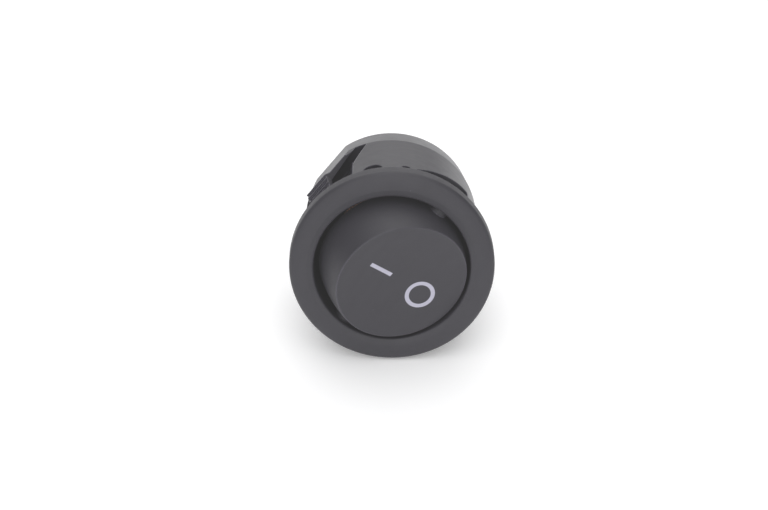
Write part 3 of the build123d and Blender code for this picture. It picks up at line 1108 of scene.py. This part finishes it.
@dataclass
class Studio:
    """Pale floor, soft light and the camera of the photograph. Sizes in millimetres and degrees.

    The sky is dimmer to both sides and to the rear: each shade is where it starts and is full, as the cosine
    to that direction, and the share of the light that it takes.
    """

    roll: float = 51.0
    pitch: float = 25.167
    yaw: float = 0.319
    shift_right: float = 0.877
    shift_down: float = 0.659
    distance: float = 269.191
    focal_pixels: float = 2400.0
    photo_width: float = 768.0
    sensor: float = 36.0
    floor_tilt: float = 7.7
    floor_drop: float = 11.4
    floor_half: float = 1500.0
    sky: float = 1.93
    side_shade: Triple = (0.1, 0.8, 0.9)
    rear_shade: Triple = (0.4, 0.95, 0.52)
    veil: float = 0.025

    def photo_to_part(self) -> Array:
        """A turn about Y: its rows are the photograph's right, rear and up directions in the part's frame."""
        a = np.radians(self.roll)
        return np.array([(np.cos(a), 0, -np.sin(a)), (0, 1, 0), (np.sin(a), 0, np.cos(a))])

    def camera_rows(self) -> Array:
        """The camera first looks to the rear, turns by the yaw about the upright and dips by the pitch.

        Returns:
            Rows that are its right, down and forward directions in the photograph's frame.
        """
        p, y = np.radians(self.pitch), np.radians(self.yaw)
        dip = np.array([(1, 0, 0), (0, np.cos(p), -np.sin(p)), (0, np.sin(p), np.cos(p))])
        level = np.array([(1, 0, 0), (0, 0, -1), (0, 1, 0)])
        swing = np.array([(np.cos(y), -np.sin(y), 0), (np.sin(y), np.cos(y), 0), (0, 0, 1)])
        return dip @ level @ swing

    def camera(self) -> bpy.types.Object:
        """Makes the camera and sets it as the scene's.

        Returns:
            The camera.
        """
        rows = self.camera_rows()
        eye = -rows.T @ np.array([self.shift_right, self.shift_down, self.distance])
        turn = self.photo_to_part()
        right, down, forward = rows @ turn
        data = bpy.data.cameras.new("camera")
        data.sensor_width = self.sensor
        data.lens = self.focal_pixels / self.photo_width * self.sensor
        data.clip_start, data.clip_end = 0.01, 20.0
        camera = placed("camera", data)
        matrix = np.eye(4)
        matrix[:3, 0], matrix[:3, 1], matrix[:3, 2], matrix[:3, 3] = right, -down, -forward, eye @ turn * MM
        camera.matrix_world = Matrix(matrix.tolist())
        bpy.context.scene.camera = camera
        return camera

    def floor(self) -> bpy.types.Object:
        """Makes the pale surface that the switch lies on, seen from above only.

        Returns:
            The floor.
        """
        tilt = np.radians(self.floor_tilt)
        turn = self.photo_to_part()
        up = np.array([0, -np.sin(tilt), np.cos(tilt)]) @ turn
        right = np.array([1.0, 0.0, 0.0]) @ turn
        ahead = np.cross(up, right)
        middle = -up * self.floor_drop
        square = self.floor_half * np.array([(-1, -1), (1, -1), (1, 1), (-1, 1)])
        points = middle + square[:, :1] * right + square[:, 1:] * ahead
        mesh = bpy.data.meshes.new("floor")
        mesh.from_pydata((points * MM).tolist(), [], [(0, 1, 2, 3)])
        mesh.materials.append(Paper().build())
        floor = placed("floor", mesh)
        return floor

    def build(self) -> None:
        """Sets the soft light, the colours with the lens's veil, the floor and the camera."""
        scene = bpy.context.scene
        scene.view_settings.view_transform = "Standard"
        scene.view_settings.look = "None"
        scene.view_settings.use_curve_mapping = True
        scene.view_settings.curve_mapping.black_level = (-self.veil,) * 3
        scene.view_settings.curve_mapping.update()
        world = bpy.data.worlds.new("studio")
        world.use_nodes = True
        make = Nodes(world.node_tree)
        way = make.add("ShaderNodeTexCoord").outputs["Generated"]
        strength = self.sky
        right, rear = self.photo_to_part()[:2].tolist()
        for axis, both, (start, full, share) in ((right, True, self.side_shade), (rear, False, self.rear_shade)):
            settings = {0: way, 1: axis}
            along = make.add("ShaderNodeVectorMath", settings, operation="DOT_PRODUCT").outputs["Value"]
            along = make.maths("ABSOLUTE", along) if both else along
            shade = make.maths("MULTIPLY", make.ramp(along, start, full), share)
            strength = make.maths("MULTIPLY", make.maths("SUBTRACT", 1.0, shade), strength)
        seen = make.add("ShaderNodeLightPath").outputs["Is Camera Ray"]
        strength = make.maths("ADD", make.maths("MULTIPLY", strength, make.maths("SUBTRACT", 1.0, seen)), seen)
        make.fill(world.node_tree.nodes["Background"], {"Color": (1.0, 1.0, 1.0, 1.0), "Strength": strength})
        scene.world = world
        self.floor()
        self.camera()


def main() -> None:
    """Builds the switch's pieces in order, dresses them and sets the studio."""
    logging.basicConfig(level=logging.INFO, format="%(name)s: %(message)s")
    grain = MouldGrain().build()
    dark = (0.025, 0.023, 0.031)
    housing_finish = Moulding("housing_nylon", dark)
    rocker_finish = MarkedMoulding("rocker_nylon", dark, rough_back=0.5)
    smooth = {"light": 1.03, "dark": 0.96, "rough_front": 0.4, "rough_back": 0.4, "dust": 0.1}
    materials = {
        "acetal": Moulding("acetal", (0.72, 0.7, 0.64), **smooth).build(grain),
        "wire": Metal("wire", (0.6, 0.6, 0.6), (0.5, 0.49, 0.47), 0.2).build(),
        "copper": Metal("copper", (0.85, 0.5, 0.35), (0.7, 0.38, 0.24), 0.28).build(),
        "silver": Metal("silver", (0.86, 0.86, 0.84), (0.72, 0.7, 0.66), 0.25).build(),
        "tinned_brass": Metal("tinned_brass", (0.78, 0.76, 0.7), (0.68, 0.62, 0.5), 0.26).build(),
    }
    for made, finish, node, slot in (
        (Housing().build(), housing_finish, "housing", "housing_plastic"),
        (Rocker().build(), rocker_finish, "rocker", "rocker_plastic"),
    ):
        made.data.materials.clear()
        made.data.materials.append(finish.build(grain))
        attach(made, node)
        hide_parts(node)
        LOG.info("built %s with %d faces", made.name, len(made.data.polygons))
    InnerParts().dress(materials)
    Studio().build()


if __name__ == "__main__":
    main()
